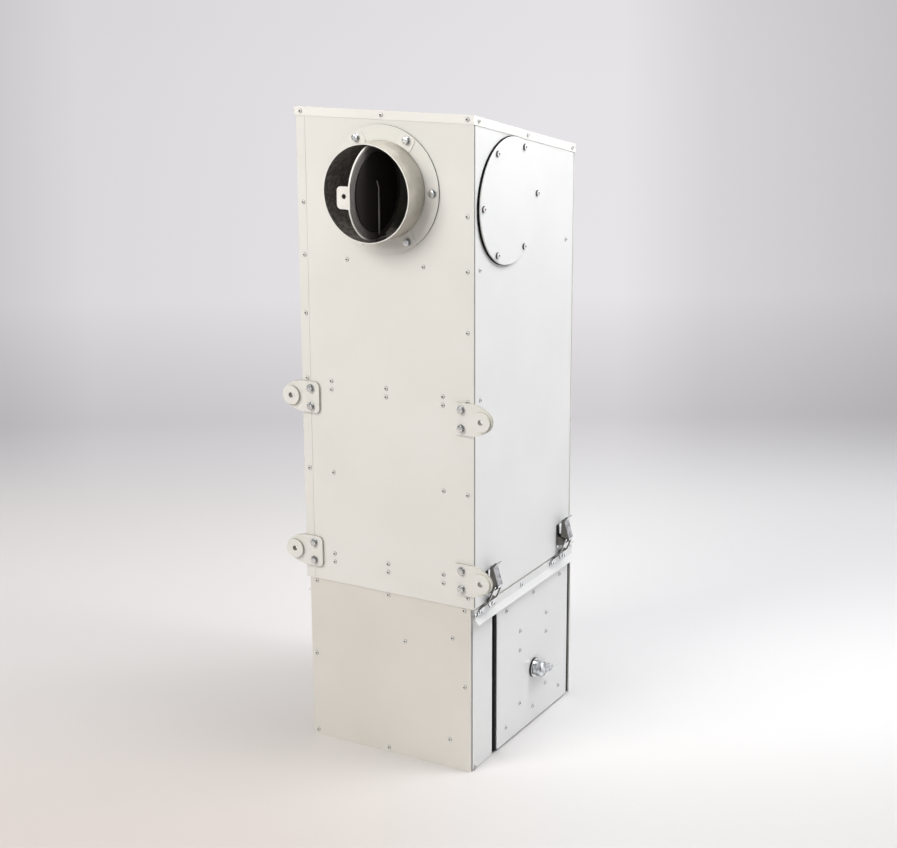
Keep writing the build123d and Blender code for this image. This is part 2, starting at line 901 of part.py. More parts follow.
def make_latch_strike(side, latch_y, name):
    """Fan shaped plate on the rail that rises to a hook in front of the seam."""
    foot_x = side * (lower_half_width + rail_thickness)
    face_x = side * (half_width + strike_out)
    lip_x = side * (half_width + strike_out + strike_sheet + hook_reach)
    foot_top = strike_foot_bottom + strike_foot_rise
    with BuildPart() as strike:
        with BuildSketch(Plane.XZ.offset(-latch_y - strike_half_foot)):
            with BuildLine():
                Polyline(
                    (foot_x, strike_foot_bottom),
                    (foot_x, foot_top),
                    (face_x, strike_shoulder),
                    (face_x, strike_top),
                    (lip_x, strike_top - hook_drop),
                )
                offset(amount=strike_sheet, side=Side.RIGHT if side > 0 else Side.LEFT)
            make_face()
        extrude(amount=2 * strike_half_foot)
        with BuildSketch(Plane.YZ):
            with BuildLine():
                Polyline(
                    (latch_y - strike_half_foot, strike_foot_bottom - strike_sheet),
                    (latch_y + strike_half_foot, strike_foot_bottom - strike_sheet),
                    (latch_y + strike_half_foot, strike_foot_bottom + foot_straight),
                    (latch_y + strike_half_hook, strike_shoulder),
                    (latch_y + strike_half_hook, strike_top + strike_sheet),
                    (latch_y - strike_half_hook, strike_top + strike_sheet),
                    (latch_y - strike_half_hook, strike_shoulder),
                    (latch_y - strike_half_foot, strike_foot_bottom + foot_straight),
                    close=True,
                )
            make_face()
            with BuildLine():
                Polyline(
                    (latch_y - notch_half_foot, strike_foot_bottom - 2 * strike_sheet),
                    (latch_y + notch_half_foot, strike_foot_bottom - 2 * strike_sheet),
                    (latch_y + notch_half_top, strike_shoulder - notch_top_drop),
                    (latch_y - notch_half_top, strike_shoulder - notch_top_drop),
                    close=True,
                )
            make_face(mode=Mode.SUBTRACT)
        extrude(amount=side * 2 * half_width, mode=Mode.INTERSECT)
    save(strike, name)


make_left_side_panel()
make_right_side_panel()
make_front_panel()
make_back_panel()
make_top_cap()
make_seam_frame()
make_spigot_flange()
make_spigot_tube()
make_damper_blade()
make_blade_seal()
make_clamp_disc()
make_damper_rod()
make_blanking_gasket()
make_blanking_plate()
for side, side_name in ((-1, "left"), (1, "right")):
    make_lug(side, seam_height + lower_lug_rise, f"{side_name}_lower_lug")
    make_lug(side, seam_height + upper_lug_rise, f"{side_name}_upper_lug")
make_lower_front()
make_lower_back()
make_lower_left_side()
make_service_wall()
make_service_trim()
make_lower_floor()
make_door_seal()
make_access_door()
make_handle_rose()
make_turn_handle()
for side, side_name in ((-1, "left"), (1, "right")):
    make_rail(side, f"{side_name}_rail")
    for latch_y, place_name in ((latch_front_y, "front"), (latch_rear_y, "rear")):
        latch = f"{side_name}_{place_name}_latch"
        make_latch_base(side, latch_y, f"{latch}_base")
        make_latch_lever(side, latch_y, f"{latch}_lever")
        make_latch_bail(side, latch_y, f"{latch}_bail")
        make_latch_strike(side, latch_y, f"{latch}_strike")
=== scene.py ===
# Air handling unit: finishes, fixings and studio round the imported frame
import math

import bmesh
import bpy
from mathutils import Matrix, Vector


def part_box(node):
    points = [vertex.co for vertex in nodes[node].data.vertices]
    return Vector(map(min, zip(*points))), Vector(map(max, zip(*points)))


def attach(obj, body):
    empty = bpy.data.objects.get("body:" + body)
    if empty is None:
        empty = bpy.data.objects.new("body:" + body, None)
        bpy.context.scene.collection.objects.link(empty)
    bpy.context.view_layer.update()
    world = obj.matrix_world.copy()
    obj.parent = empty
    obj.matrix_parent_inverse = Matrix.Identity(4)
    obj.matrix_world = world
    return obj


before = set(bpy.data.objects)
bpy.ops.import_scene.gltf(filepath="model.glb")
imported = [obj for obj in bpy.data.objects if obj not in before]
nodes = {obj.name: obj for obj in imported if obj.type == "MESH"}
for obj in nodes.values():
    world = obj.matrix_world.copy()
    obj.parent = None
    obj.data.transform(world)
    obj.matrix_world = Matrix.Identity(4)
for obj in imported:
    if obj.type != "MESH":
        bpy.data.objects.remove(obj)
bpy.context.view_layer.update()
print("frame loaded:", len(nodes), "nodes")

mm = 0.001  # sizes below are in millimetres, and meshes in metres


def lowOf(node, axis):
    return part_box(node)[0][axis] / mm


def highOf(node, axis):
    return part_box(node)[1][axis] / mm


def midOf(node, axis):
    return (lowOf(node, axis) + highOf(node, axis)) / 2


# Thickness of the sheets that bolts stand on
sheets = {"lug": 4.0, "tab": 1.2}

# Faces that the fixings stand on, read from the frame
place = {
    "frontY": lowOf("front_panel", 1),
    "backY": highOf("back_panel", 1),
    "sideX": highOf("right_side_panel", 0),
    "capFrontY": lowOf("top_cap", 1),
    "capBackY": highOf("top_cap", 1),
    "capSideX": highOf("top_cap", 0),
    "lowerX": highOf("lower_front", 0),
    "lowerFrontY": lowOf("lower_front", 1),
    "lowerBackY": highOf("lower_back", 1),
    "doorX": highOf("access_door", 0),
    "plateX": highOf("blanking_plate", 0),
    "portY": midOf("blanking_plate", 1),
    "portZ": midOf("blanking_plate", 2),
    "spigotZ": midOf("spigot_flange", 2),
    "mouthY": lowOf("spigot_tube", 1),
    "tabY": lowOf("spigot_flange", 1) - sheets["tab"],
    "lugFaceY": lowOf("front_panel", 1) - sheets["lug"],
}


def toLinear(hexCode):
    # sRGB hex to the linear colour that the shaders take
    channels = [int(hexCode[i:i + 2], 16) / 255 for i in (0, 2, 4)]
    return (*[c / 12.92 if c <= 0.04045 else ((c + 0.055) / 1.055) ** 2.4 for c in channels], 1.0)


def addNode(tree, kind, inputs=None, **settings):
    # settings first, as a data type decides which sockets there are
    node = tree.nodes.new(kind)
    for name, value in settings.items():
        setattr(node, name, value)
    for name, value in (inputs or {}).items():
        if isinstance(value, bpy.types.NodeSocket):
            tree.links.new(value, node.inputs[name])
        else:
            node.inputs[name].default_value = value
    return node


def newMaterial(name):
    material = bpy.data.materials.new(name)
    material.use_nodes = True
    material.node_tree.nodes.clear()
    return material, material.node_tree


def finishMaterial(tree, shader):
    addNode(tree, "ShaderNodeOutputMaterial", {"Surface": shader.outputs[0]})


def objectCoords(tree):
    return addNode(tree, "ShaderNodeTexCoord").outputs["Object"]


def axesOf(tree, vector):
    return addNode(tree, "ShaderNodeSeparateXYZ", {"Vector": vector}).outputs


def calculate(tree, operation, first, second=0.0):
    return addNode(tree, "ShaderNodeMath", {0: first, 1: second}, operation=operation).outputs["Value"]


def lengthOf(tree, vector):
    return addNode(tree, "ShaderNodeVectorMath", {0: vector}, operation="LENGTH").outputs["Value"]


def multiplied(tree, first, second):
    node = addNode(tree, "ShaderNodeVectorMath", {0: first, 1: second}, operation="MULTIPLY")
    return node.outputs["Vector"]


def remap(tree, value, fromSpan, toSpan=(0.0, 1.0), interpolation="LINEAR"):
    node = addNode(tree, "ShaderNodeMapRange", {
        "Value": value, "From Min": fromSpan[0], "From Max": fromSpan[1],
        "To Min": toSpan[0], "To Max": toSpan[1]}, interpolation_type=interpolation)
    return node.outputs["Result"]


def noise(tree, coords, size, detail, roughness=0.5):
    # size is that of the coarsest blotch, in millimetres
    node = addNode(tree, "ShaderNodeTexNoise", {
        "Vector": coords, "Scale": 1 / (size * mm), "Detail": detail, "Roughness": roughness})
    return node.outputs["Fac"]


def ramp(tree, factor, stops):
    node = addNode(tree, "ShaderNodeValToRGB", {"Fac": factor})
    elements = node.color_ramp.elements
    while len(elements) > 1:
        elements.remove(elements[-1])
    for index, (position, colour) in enumerate(stops):
        element = elements[0] if index == 0 else elements.new(position)
        element.position = position
        element.color = colour
    return node.outputs["Color"]


def hexRamp(tree, factor, positions, hexCodes):
    return ramp(tree, factor, [(spot, toLinear(code)) for spot, code in zip(positions, hexCodes)])


def bumpFrom(tree, height, strength, depth):
    node = addNode(tree, "ShaderNodeBump", {
        "Height": height, "Strength": strength, "Distance": depth * mm})
    return node.outputs["Normal"]


def mixColours(tree, factor, first, second):
    # sockets 6, 7 and 2 are the colour ones of the mix node
    mixed = addNode(tree, "ShaderNodeMix", {0: factor, 6: first, 7: second}, data_type="RGBA")
    return mixed.outputs[2]


def mixShaders(tree, factor, first, second):
    return addNode(tree, "ShaderNodeMixShader", {
        "Fac": factor, 1: first.outputs[0], 2: second.outputs[0]})


# Tone of the painted shade in the fixings' recesses and on their walls
paintedShadeTone = "1d1a17"


def withPaintedShade(tree, colour):
    # Painted shade: darkens the recesses and steep walls marked on the fixings' heads
    paintedShade = addNode(tree, "ShaderNodeAttribute", attribute_name="paintedShade")
    return mixColours(tree, paintedShade.outputs["Fac"], colour, toLinear(paintedShadeTone))


def withEdgeShade(tree, colour, look):
    # Painted shade: all but the sheet's broad faces, picked by which way they face, turn darker,
    # standing in for the shadow and dark reflection on its edges and side walls
    facing = addNode(tree, "ShaderNodeTexCoord").outputs["Normal"]
    broad = calculate(tree, "ABSOLUTE", axesOf(tree, facing)[look["broadAxis"]])
    amount = remap(tree, broad, (look["edgeFull"], look["edgeNone"]), (1.0, 0.0))
    return mixColours(tree, amount, colour, toLinear(look["paintedEdgeShade"]))


coat = {"tintAt": (0.35, 0.65), "markSpan": (0.3, 0.7), "glossLess": 0.05, "glossMore": 0.06,
        "peelBump": 0.16, "peelDepth": 0.06}


def powderCoat(name, look):
    # Polyester powder coat on sheet steel: sprayed dry and baked, so it shows a soft orange peel
    # and a satin gloss, with faint uneven thickness from panel to panel
    material, tree = newMaterial(name)
    coords = objectCoords(tree)
    cloud = noise(tree, coords, look["cloudSize"], 3.0)
    colour = withPaintedShade(tree, hexRamp(tree, cloud, coat["tintAt"], (look["deep"], look["pale"])))
    if "paintedEdgeShade" in look:
        colour = withEdgeShade(tree, colour, look)
    if "foldDepth" in look:
        # Painted shade in the fold where the side wall tucks in behind the front panel, where the crease
        # lies in shadow
        foldEnd = (place["frontY"] + look["foldDepth"]) * mm
        fold = calculate(tree, "LESS_THAN", axesOf(tree, coords)["Y"], foldEnd)
        colour = mixColours(tree, fold, colour, toLinear(look["foldPaintedShade"]))
    grime = noise(tree, coords, look["handMark"], 6.0, 0.62)
    gloss = remap(tree, grime, coat["markSpan"],
                  (look["gloss"] - coat["glossLess"], look["gloss"] + coat["glossMore"]))
    peel = noise(tree, coords, look["peelSize"], 2.0)  # real peel is 0.5 mm, drawn coarser so it shows
    paint = addNode(tree, "ShaderNodeBsdfPrincipled", {
        "Base Color": colour, "Roughness": gloss, "IOR": 1.5,
        "Normal": bumpFrom(tree, peel, coat["peelBump"], coat["peelDepth"])})
    finishMaterial(tree, paint)
    return material


plating = {"tintAt": (0.3, 0.7), "cloudSpan": (0.3, 0.7), "glossLess": 0.06, "glossMore": 0.08}


def zincPlate(name, look):
    # Blue passivated zinc on steel: barrel plated, so the shine is cloudy with a cool blue cast
    material, tree = newMaterial(name)
    cloud = noise(tree, objectCoords(tree), look["cloudSize"], 4.0)
    tint = hexRamp(tree, cloud, plating["tintAt"], (look["deep"], look["pale"]))
    gloss = remap(tree, cloud, plating["cloudSpan"],
                  (look["gloss"] - plating["glossLess"], look["gloss"] + plating["glossMore"]))
    metal = addNode(tree, "ShaderNodeBsdfPrincipled", {
        "Base Color": withPaintedShade(tree, tint), "Metallic": 1.0, "Roughness": gloss})
    finishMaterial(tree, metal)
    return material


chrome = {"tintAt": (0.35, 0.6), "pressBump": 0.5, "speckSpan": (0.55, 0.75), "speckDull": 0.2}


def chromePlate(name, look):
    # Bright nickel chrome on pressed steel: mirror gloss over faint press marks and a few dull specks
    material, tree = newMaterial(name)
    coords = objectCoords(tree)
    press = noise(tree, coords, look["pressSize"], 2.0)
    colour = hexRamp(tree, press, chrome["tintAt"], (look["deep"], look["pale"]))
    if "paintedEdgeShade" in look:
        colour = withEdgeShade(tree, colour, look)
    speck = noise(tree, coords, look["speckSize"], 3.0)
    gloss = remap(tree, speck, chrome["speckSpan"], (look["gloss"], look["gloss"] + chrome["speckDull"]))
    metal = addNode(tree, "ShaderNodeBsdfPrincipled", {
        "Base Color": colour, "Metallic": 1.0, "Roughness": gloss,
        "Normal": bumpFrom(tree, press, chrome["pressBump"], look["pressDepth"])})
    finishMaterial(tree, metal)
    return material


skin = {"tintAt": (0.35, 0.7), "poreBump": 0.4, "poreDepth": 0.1, "roughness": 0.85}


def sealRubber(name, look):
    # Closed cell EPDM strip, extruded and glued: matte black, with a fine skin of pores
    material, tree = newMaterial(name)
    pores = noise(tree, objectCoords(tree), look["poreSize"], 3.0)
    rubber = addNode(tree, "ShaderNodeBsdfPrincipled", {
        "Base Color": hexRamp(tree, pores, skin["tintAt"], (look["deep"], look["pale"])),
        "Roughness": skin["roughness"], "IOR": 1.5, "Specular IOR Level": look["shine"],
        "Normal": bumpFrom(tree, pores, skin["poreBump"], skin["poreDepth"])})
    finishMaterial(tree, rubber)
    return material


spiral = {"tintAt": (0.05, 0.4), "paintAt": (0.35, 0.65), "paintGloss": 0.38, "zincGloss": 0.62}


def galvanisedTube(name, look):
    # Galvanised spiral stock, painted outside only: cream paint out to the rim, drawn darker on the
    # outer wall as painted shade, and dull spangle with settled dust inside
    material, tree = newMaterial(name)
    coords = objectCoords(tree)
    spangle = addNode(tree, "ShaderNodeTexVoronoi", {
        "Vector": coords, "Scale": 1 / (look["spangleSize"] * mm)}).outputs["Distance"]
    dust = noise(tree, coords, look["dustSize"], 6.0, 0.7)
    dusty = calculate(tree, "MULTIPLY", spangle, dust)
    zinc = hexRamp(tree, dusty, spiral["tintAt"], (look["deep"], look["pale"]))
    cloud = noise(tree, coords, look["cloudSize"], 3.0)
    paint = hexRamp(tree, cloud, spiral["paintAt"], (look["shadedPaintDeep"], look["shadedPaintPale"]))

    # The distance from the tube's axis tells its inner face, its wall and its holding tabs apart
    axes = axesOf(tree, coords)
    rise = calculate(tree, "SUBTRACT", axes["Z"], place["spigotZ"] * mm)
    offAxis = addNode(tree, "ShaderNodeCombineXYZ", {"X": axes["X"], "Y": rise}).outputs["Vector"]
    reach = lengthOf(tree, offAxis)
    inside = calculate(tree, "LESS_THAN", reach, look["paintFrom"] * mm)
    tabs = calculate(tree, "GREATER_THAN", reach, look["tabsFrom"] * mm)
    rim = calculate(tree, "LESS_THAN", axes["Y"], (place["mouthY"] + look["rimDepth"]) * mm)
    coated = calculate(tree, "MAXIMUM", tabs, rim)
    wall = mixColours(tree, inside, paint, zinc)
    metal = addNode(tree, "ShaderNodeBsdfPrincipled", {
        "Base Color": mixColours(tree, coated, wall, toLinear(look["edgePaint"])),
        "Roughness": remap(tree, inside, (0.0, 1.0), (spiral["paintGloss"], spiral["zincGloss"]))})
    finishMaterial(tree, metal)
    return material


housingLook = {"deep": "e4e3dd", "pale": "e8e7e2", "cloudSize": 160.0, "handMark": 30.0,
               "peelSize": 2.0, "gloss": 0.34}
# The right side's paint is a painted light copy of the housing paint: cooler white, where the cool key
# light falls
litSideLook = {**housingLook, "deep": "e5e5e4", "pale": "e9e9e8", "foldDepth": 5.0, "foldPaintedShade": "86857a"}
lowerLook = {**housingLook, "deep": "dad7cf", "pale": "dfdcd5"}
capLook = {**housingLook, "deep": "eceae5", "pale": "f0efea", "cloudSize": 140.0}
# The ring, lugs, latches and rose carry painted shade on their edges and side walls
ringLook = {**housingLook, "paintedEdgeShade": "231f1b", "broadAxis": "Y", "edgeFull": 0.5, "edgeNone": 0.8}
lugLook = {**housingLook, "paintedEdgeShade": "b0aba0", "broadAxis": "Y", "edgeFull": 0.05, "edgeNone": 0.4}
bladeLook = {"deep": "e3e1db", "pale": "efede8", "cloudSize": 20.0, "handMark": 9.0,
             "peelSize": 1.6, "gloss": 0.36}
# The recessed service wall is drawn dark grey: painted shade in the narrow gap round the door
shadedRecessLook = {"deep": "55544a", "pale": "66655a", "cloudSize": 60.0, "handMark": 20.0,
              "peelSize": 2.0, "gloss": 0.5}
rivetLook = {"deep": "dad9d5", "pale": "ecebe8", "cloudSize": 4.0, "handMark": 3.0,
             "peelSize": 1.2, "gloss": 0.3}
tubeLook = {"deep": "423f3c", "pale": "77726e", "spangleSize": 6.0, "dustSize": 14.0,
            "shadedPaintDeep": "a39e92", "shadedPaintPale": "bab5aa", "edgePaint": "eae8e3", "cloudSize": 30.0,
            "paintFrom": 70.9, "tabsFrom": 72.2, "rimDepth": 0.5}
zincLook = {"deep": "cfd3d5", "pale": "f4f6f7", "cloudSize": 3.0, "gloss": 0.24}
rodLook = {"deep": "6a6766", "pale": "8b8886", "cloudSize": 25.0, "gloss": 0.3}
handleLook = {"deep": "7f8385", "pale": "e6e8ea", "pressSize": 5.0, "pressDepth": 0.15,
              "speckSize": 1.2, "gloss": 0.12}
latchLook = {**handleLook, "deep": "c9cccf", "pale": "f8f9fa", "pressSize": 7.0,
             "paintedEdgeShade": "6b6965", "broadAxis": "X", "edgeFull": 0.6, "edgeNone": 0.86}
roseLook = {**latchLook, "paintedEdgeShade": "3b3935"}
rubberLook = {"deep": "080808", "pale": "131211", "poreSize": 1.5, "shine": 0.2}
clampLook = {"deep": "282423", "pale": "322e2d", "poreSize": 1.5, "shine": 0.12}
feltLook = {"deep": "575350", "pale": "6b6663", "poreSize": 2.0, "shine": 0.5}

finishes = {
    "housing": powderCoat("satinPowderCoat", housingLook),
    "side": powderCoat("litSidePowderCoat", litSideLook),
    "lower": powderCoat("warmPowderCoat", lowerLook),
    "cap": powderCoat("palePowderCoat", capLook),
    "ring": powderCoat("ringPowderCoat", ringLook),
    "lug": powderCoat("lugPowderCoat", lugLook),
    "blade": powderCoat("bladePowderCoat", bladeLook),
    "recess": powderCoat("recessPaintedShade", shadedRecessLook),
    "rivet": powderCoat("paintedRivets", rivetLook),
    "tube": galvanisedTube("galvanisedSpiralTube", tubeLook),
    "zinc": zincPlate("bluePassivatedZinc", zincLook),
    "rod": zincPlate("blackenedSteelWire", rodLook),
    "handle": chromePlate("handleChrome", handleLook),
    "latch": chromePlate("latchChrome", latchLook),
    "rose": chromePlate("roseChrome", roseLook),
    "rubber": sealRubber("epdmStrip", rubberLook),
    "clamp": sealRubber("clampDiscRubber", clampLook),
    "felt": sealRubber("greyFeltDisc", feltLook),
}
print("materials made:", len(finishes))

nodeFinishes = {
    "top_cap": "cap", "lower_front": "lower", "service_wall": "recess",
    "right_side_panel": "side", "blanking_plate": "side", "service_trim": "side",
    "access_door": "side", "right_rail": "side",
    "spigot_flange": "ring", "spigot_tube": "tube", "damper_blade": "blade",
    "blade_seal": "felt", "clamp_disc": "clamp", "damper_rod": "rod",
    "blanking_gasket": "rubber", "door_seal": "rubber",
    "handle_rose": "rose", "turn_handle": "handle",
}


def finishOf(node):
    if "_latch_" in node:
        return "latch"
    if node.endswith("_lug"):
        return "lug"
    return nodeFinishes.get(node, "housing")


for nodeName, piece in nodes.items():
    for materialSlot in piece.material_slots:
        materialSlot.material = finishes[finishOf(nodeName)]
print("frame dressed")

# How heads are built: vertices closer than weld join, a face counts as wall below the steep share
# of its normal along the head's axis, and every head's foot is sunk into its panel
heads = {"weld": 0.00001, "steep": 0.6, "foot": -0.2}


def templateMesh(name, build, sizes):
    bm = bmesh.new()
    build(bm, sizes)
    bmesh.ops.remove_doubles(bm, verts=bm.verts, dist=heads["weld"])
    bmesh.ops.recalc_face_normals(bm, faces=bm.faces)
    mesh = bpy.data.meshes.new(name)
    bm.to_mesh(mesh)
    bm.free()
    return mesh


def paintHeadShade(bm, radius, sizes):
    # Marks a head's recess and its steep outer wall for painted shade: the recess stands for the shadow
    # in its hollow, the wall for shade and a dark reflection
    paintedShade = bm.faces.layers.float.new("paintedShade")
    bmesh.ops.recalc_face_normals(bm, faces=bm.faces)
    for face in bm.faces:
        centre = face.calc_center_median()
        if math.hypot(centre.x, centre.y) < radius * mm:
            face[paintedShade] = sizes["recessShade"]
        else:
            face[paintedShade] = sizes["wallShade"] if abs(face.normal.z) < heads["steep"] else 0.0


def spinProfile(bm, points, steps):
    # Turns a profile of (radius, height) points about the Z axis
    verts = [bm.verts.new((radius * mm, 0, height * mm)) for radius, height in points]
    edges = [bm.edges.new(pair) for pair in zip(verts, verts[1:])]
    bmesh.ops.spin(bm, geom=verts + edges, cent=(0, 0, 0), axis=(0, 0, 1),
                   angle=2 * math.pi, steps=steps, use_merge=True)


rivetPiece = {"headRadius": 3.6, "headHeight": 1.7, "stemRadius": 1.35, "steps": 14,
              "recessShade": 0.75, "wallShade": 0.5}


def buildRivet(bm, sizes):
    # Blind rivet: domed head with the pulled stem's dimple in the middle
    head, tall, stem = sizes["headRadius"], sizes["headHeight"], sizes["stemRadius"]
    spinProfile(bm, [
        (0, tall * 0.1), (stem, tall * 0.1), (stem * 1.15, tall), (head * 0.55, tall * 0.95),
        (head * 0.85, tall * 0.62), (head, tall * 0.15), (head, heads["foot"]), (0, heads["foot"]),
    ], sizes["steps"])
    paintHeadShade(bm, stem * 1.1, sizes)


boltPiece = {"washerRadius": 6.2, "washerThickness": 1.2, "washerChamfer": 0.25, "steps": 24,
             "headRadius": 5.6, "headHeight": 4.0, "headChamfer": 0.7, "sameHeight": 1e-6,
             "recessShade": 0.0, "wallShade": 0.75}


def buildHexBolt(bm, sizes):
    # Plain washer under a hexagon head with a chamfered top
    washer, thick, chamfer = sizes["washerRadius"], sizes["washerThickness"], sizes["washerChamfer"]
    spinProfile(bm, [
        (0, thick), (washer - chamfer, thick), (washer, thick - chamfer), (washer, 0), (0, 0),
    ], sizes["steps"])
    radius, tall = sizes["headRadius"] * mm, sizes["headHeight"]
    head = bmesh.ops.create_cone(bm, cap_ends=True, segments=6, radius1=radius, radius2=radius,
                                 depth=tall * mm)
    bmesh.ops.translate(bm, verts=head["verts"], vec=(0, 0, (thick + tall / 2) * mm))
    top = (thick + tall) * mm
    rim = [edge for edge in bm.edges if all(
        vert in head["verts"] and abs(vert.co.z - top) < sizes["sameHeight"] for vert in edge.verts)]
    bmesh.ops.bevel(bm, geom=rim, offset=sizes["headChamfer"] * mm, segments=2, profile=0.5,
                    affect="EDGES", material=-1)
    paintHeadShade(bm, 0.0, sizes)


screwPiece = {"headRadius": 3.8, "headHeight": 2.2, "steps": 16, "recessShade": 1.0, "wallShade": 0.6}


def buildPanScrew(bm, sizes):
    # Pan head with a cross recess left as a shallow dish
    head, tall = sizes["headRadius"], sizes["headHeight"]
    spinProfile(bm, [
        (0, tall * 0.4), (head * 0.3, tall * 0.55), (head * 0.42, tall), (head * 0.75, tall * 0.86),
        (head, tall * 0.4), (head, heads["foot"]), (0, heads["foot"]),
    ], sizes["steps"])
    paintHeadShade(bm, head * 0.4, sizes)


buttonPiece = {"headRadius": 4.8, "headHeight": 3.4, "socketRadius": 1.7, "steps": 18,
               "recessShade": 1.0, "wallShade": 0.95}


def buildButtonScrew(bm, sizes):
    # Button head with a deep flat-bottomed socket
    head, tall, socket = sizes["headRadius"], sizes["headHeight"], sizes["socketRadius"]
    spinProfile(bm, [
        (0, tall * 0.5), (socket, tall * 0.5), (socket, tall), (head * 0.72, tall * 0.97),
        (head * 0.94, tall * 0.78), (head, tall * 0.3), (head, heads["foot"]), (0, heads["foot"]),
    ], sizes["steps"])
    paintHeadShade(bm, socket * 1.02, sizes)


rivetMesh = templateMesh("rivetTemplate", buildRivet, rivetPiece)
boltMesh = templateMesh("boltTemplate", buildHexBolt, boltPiece)
screwMesh = templateMesh("screwTemplate", buildPanScrew, screwPiece)
buttonMesh = templateMesh("buttonTemplate", buildButtonScrew, buttonPiece)

facings = {
    "front": Matrix.Rotation(math.radians(90), 4, "X"),
    "back": Matrix.Rotation(math.radians(-90), 4, "X"),
    "right": Matrix.Rotation(math.radians(90), 4, "Y"),
    "left": Matrix.Rotation(math.radians(-90), 4, "Y"),
}
headTurn = 0.7  # radians from each head to the next, as no two stop at the same angle
sharpAngle = math.radians(35)


def addFixings(name, template, groups, body, finish):
    # groups hold (facing, [(x, y, z), ...]) in millimetres
    bm = bmesh.new()
    turn = 0.0
    for facing, spots in groups:
        for spot in spots:
            before = len(bm.verts)
            bm.from_mesh(template)  # keeps the painted shade layer
            bm.verts.ensure_lookup_table()
            turn += headTurn
            seat = Matrix.Translation(Vector(spot) * mm) @ facings[facing]
            bmesh.ops.transform(bm, matrix=seat @ Matrix.Rotation(turn, 4, "Z"), verts=bm.verts[before:])
    mesh = bpy.data.meshes.new(name)
    bm.to_mesh(mesh)
    bm.free()
    mesh.materials.append(finishes[finish])
    for polygon in mesh.polygons:
        polygon.use_smooth = True
    mesh.set_sharp_from_angle(angle=sharpAngle)
    piece = bpy.data.objects.new(name, mesh)
    bpy.context.collection.objects.link(piece)
    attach(piece, body)


def ringSpots(ring):
    angles = [math.radians(360 / ring["count"] * i) for i in range(ring["count"])]
    return [(ring["circle"] * math.cos(a), ring["circle"] * math.sin(a)) for a in angles]


# The roof falls from front to back: heights of its two edges, the run between them, and how far
# the cap's front edge stands ahead of the front panel
roof = {"frontZ": 1000.0, "backZ": 922.0, "run": 330.8, "ahead": 0.9}


def roofZ(depth):
    # Height of the cap's top edge at a distance behind the front panel
    return roof["frontZ"] - (depth + roof["ahead"]) * ((roof["frontZ"] - roof["backZ"]) / roof["run"])


# Rivets: x from the middle of the front, y from the front panel and z from the floor
housingRivets = {
    "stripX": -138.2, "stripZ": (859.0, 780.0, 691.0, 590.0, 447.0),
    "edgeX": 138.6, "edgeZ": (857.0, 778.0, 689.0, 586.5, 445.0, 284.5),
    "braceX": (-95.3, 1.0, 97.3), "braceZ": (590.0, 577.0, 314.0, 300.7),
    "faceX": (-63.5, 66.2), "faceZ": 779.0,
    "loneX": (-94.6, 98.0), "loneZ": 445.8,
    "capX": (-139.3, -1.0, 139.2), "capDrop": 6.4,
    "sideSpots": ((19.0, 778.3), (300.0, 778.3), (20.2, 586.2)),
    "capSideY": (14.0, 166.0, 318.0),
    "backZ": (859.0, 780.0, 691.0, 590.0, 447.0, 284.5),
}


def frontRivetSpots(sizes):
    y = place["frontY"]
    spots = [(sizes["stripX"], y, z) for z in sizes["stripZ"]]
    spots += [(sizes["edgeX"], y, z) for z in sizes["edgeZ"]]
    spots += [(x, y, z) for x in sizes["braceX"] for z in sizes["braceZ"]]
    spots += [(x, y, sizes["faceZ"]) for x in sizes["faceX"]]
    spots += [(x, y, sizes["loneZ"]) for x in sizes["loneX"]]
    spots += [(x, place["capFrontY"], roof["frontZ"] - sizes["capDrop"]) for x in sizes["capX"]]
    return spots


def sideRivetSpots(sizes, sign):
    spots = [(sign * place["sideX"], place["frontY"] + y, z) for y, z in sizes["sideSpots"]]
    spots += [(sign * place["capSideX"], place["frontY"] + y, roofZ(y) - sizes["capDrop"])
              for y in sizes["capSideY"]]
    return spots


def backRivetSpots(sizes):
    spots = [(sizes["edgeX"] * sign, place["backY"], z) for sign in (-1, 1) for z in sizes["backZ"]]
    spots += [(x, place["capBackY"], roof["backZ"] - sizes["capDrop"]) for x in sizes["capX"]]
    return spots


addFixings("housingRivetHeads", rivetMesh, [
    ("front", frontRivetSpots(housingRivets)),
    ("right", sideRivetSpots(housingRivets, 1)),
    ("left", sideRivetSpots(housingRivets, -1)),
    ("back", backRivetSpots(housingRivets)),
], "housing", "rivet")

lowerRivets = {
    "frontSpots": ((-130.5, 262.5), (-0.5, 262.5), (131.5, 262.5), (-134.6, 140.0), (132.0, 139.0),
                   (-134.6, 8.6), (-3.0, 8.0), (28.3, 192.6), (111.0, 214.5), (106.0, 47.3)),
    "backX": (-132.0, 0.0, 132.0), "backZ": (8.3, 139.5, 258.0),
    "leftY": (18.0, 172.5, 327.0), "leftZ": (8.3, 139.5),
    "stripY": 15.8, "stripZ": 4.8,
}


def lowerRivetGroups(sizes):
    front = [(x, place["lowerFrontY"], z) for x, z in sizes["frontSpots"]]
    back = [(x, place["lowerBackY"], z) for x in sizes["backX"] for z in sizes["backZ"]]
    left = [(-place["lowerX"], place["lowerFrontY"] + y, z)
            for y in sizes["leftY"] for z in sizes["leftZ"]]
    right = [(place["lowerX"], place["frontY"] + sizes["stripY"], sizes["stripZ"])]
    return [("front", front), ("back", back), ("left", left), ("right", right)]


addFixings("lowerRivetHeads", rivetMesh, lowerRivetGroups(lowerRivets), "housing", "rivet")

doorRivets = {
    "rowY": (117.0, 210.2, 304.2), "rowZ": (224.4, 28.5),
    "columnY": (164.2, 256.0), "columnZ": (174.5, 142.0, 51.6),
}


